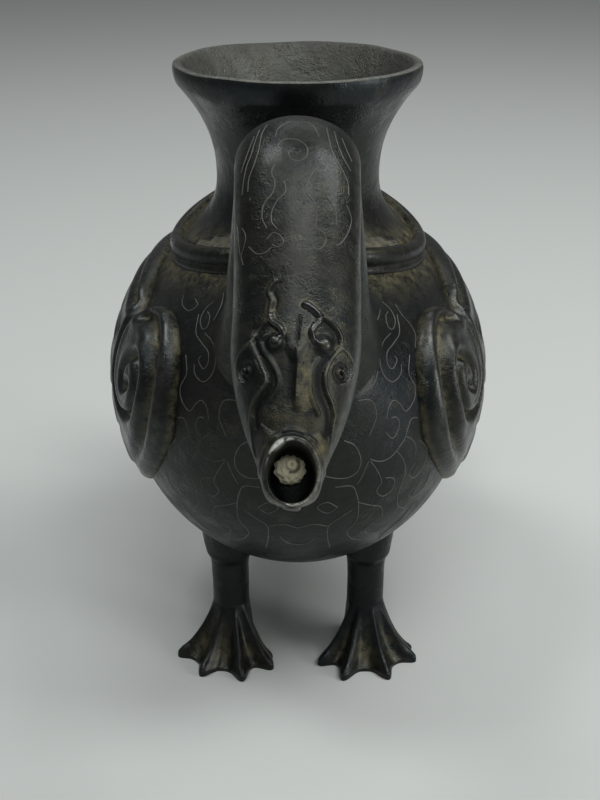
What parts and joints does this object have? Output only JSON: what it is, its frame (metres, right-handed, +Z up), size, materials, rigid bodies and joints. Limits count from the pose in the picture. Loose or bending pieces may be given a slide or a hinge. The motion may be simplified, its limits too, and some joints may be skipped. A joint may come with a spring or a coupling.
{
  "type": "duck-shaped water dropper",
  "caption": "Standing bronze duck vessel with a trumpet mouth on its back, a bent neck, a spout in the bill, webbed feet and silver wire inlay.",
  "frame": {"origin": "middle of the footprint on the surface that the feet stand on", "axes": "+Z up, the duck faces -Y, +X is to the right of someone who looks at its face"},
  "size_m": [0.0984, 0.1816, 0.15],
  "materials": {
    "bronze": "blackish brown patina, semi-gloss, ochre dirt in the recesses",
    "aged_bronze": "greyish green and brown patina, matt",
    "silver_inlay": "dull silver-grey wire"
  },
  "bodies": {
    "root": {"body_shell": "bronze", "belly_plate": "bronze", "trumpet_mouth": "aged_bronze", "trumpet_collar": "bronze", "duck_neck": "bronze", "duck_head": "bronze", "lower_bill": "bronze", "spout_tube": "aged_bronze", "tail_fan": "bronze", "rear_prop": "bronze", "eye_left": "bronze", "wing_left": "bronze", "leg_left": "bronze", "core_plug_left_1": "bronze", "core_plug_left_2": "bronze", "breast_wire_tear_left": "silver_inlay", "breast_wire_scroll_left": "silver_inlay", "breast_wire_return_left": "silver_inlay", "breast_wire_stem_left": "silver_inlay", "breast_wire_curl_left": "silver_inlay", "breast_wire_branch_left": "silver_inlay", "breast_wire_twig_left": "silver_inlay", "breast_wire_hook_left": "silver_inlay", "breast_wire_arc_left": "silver_inlay", "breast_wire_step_left": "silver_inlay", "breast_wire_tail_left": "silver_inlay", "neck_wire_plume_left": "silver_inlay", "neck_wire_barb_left": "silver_inlay", "neck_wire_edge_left": "silver_inlay", "eye_right": "bronze", "wing_right": "bronze", "leg_right": "bronze", "core_plug_right_1": "bronze", "core_plug_right_2": "bronze", "breast_wire_tear_right": "silver_inlay", "breast_wire_scroll_right": "silver_inlay", "breast_wire_return_right": "silver_inlay", "breast_wire_stem_right": "silver_inlay", "breast_wire_curl_right": "silver_inlay", "breast_wire_branch_right": "silver_inlay", "breast_wire_twig_right": "silver_inlay", "breast_wire_hook_right": "silver_inlay", "breast_wire_arc_right": "silver_inlay", "breast_wire_step_right": "silver_inlay", "breast_wire_tail_right": "silver_inlay", "neck_wire_plume_right": "silver_inlay", "neck_wire_barb_right": "silver_inlay", "neck_wire_edge_right": "silver_inlay"}
  },
  "joints": []
}
